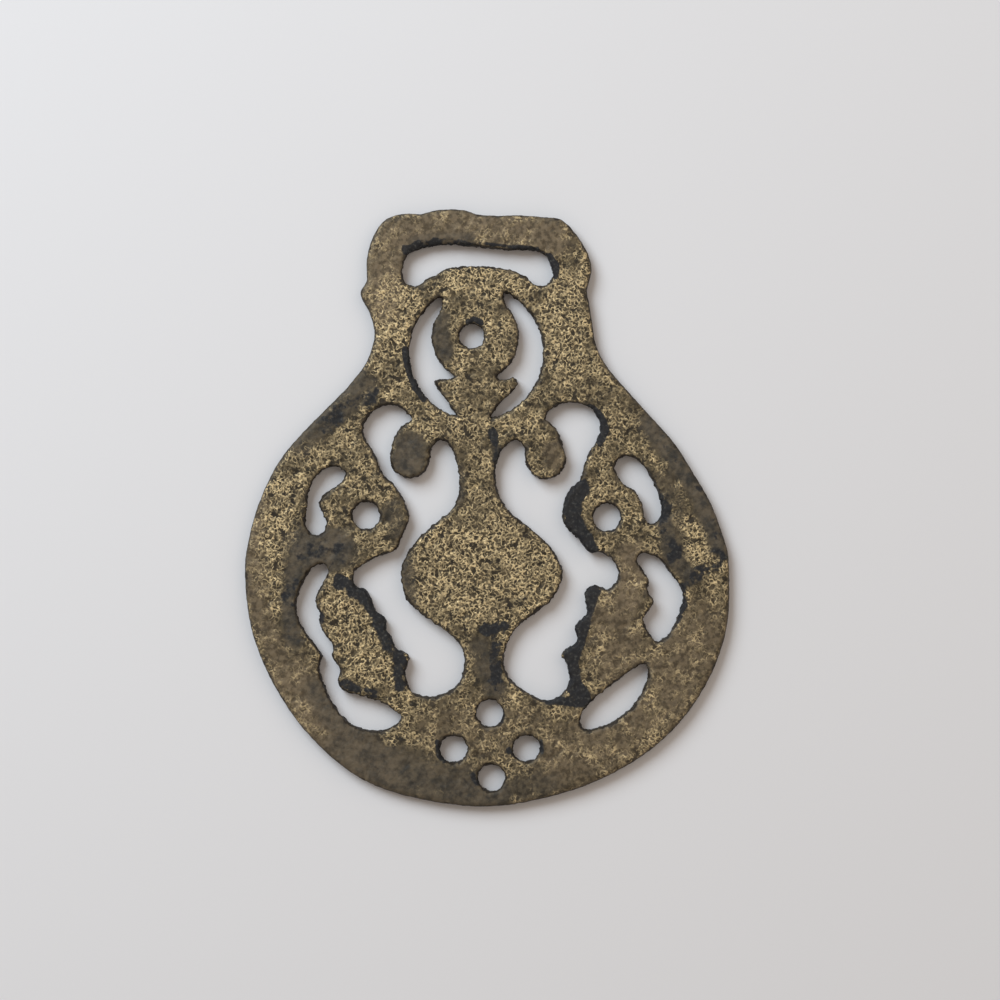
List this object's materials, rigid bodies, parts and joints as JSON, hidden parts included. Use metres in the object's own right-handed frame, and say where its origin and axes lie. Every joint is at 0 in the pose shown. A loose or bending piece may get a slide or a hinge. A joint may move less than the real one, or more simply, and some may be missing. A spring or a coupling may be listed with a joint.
{
  "type": "horse brass",
  "caption": "Flat pierced harness ornament of cast brass: a vase between birds inside a round border, with a slotted loop above for the strap.",
  "frame": {"origin": "centre of the underside: the middle of the brass's length and width, on its flat back", "axes": "+Y runs from the middle of the disc up to the strap loop, +Z is out of the decorated front, +X is to the right seen from the front"},
  "size_m": [0.0728, 0.0896, 0.0022],
  "materials": {
    "aged_cast_brass": "dark brown patina with worn pale gold flecks and blue-black deposits in the openings"
  },
  "bodies": {
    "root": {"pierced_brass": "aged_cast_brass"}
  },
  "joints": []
}
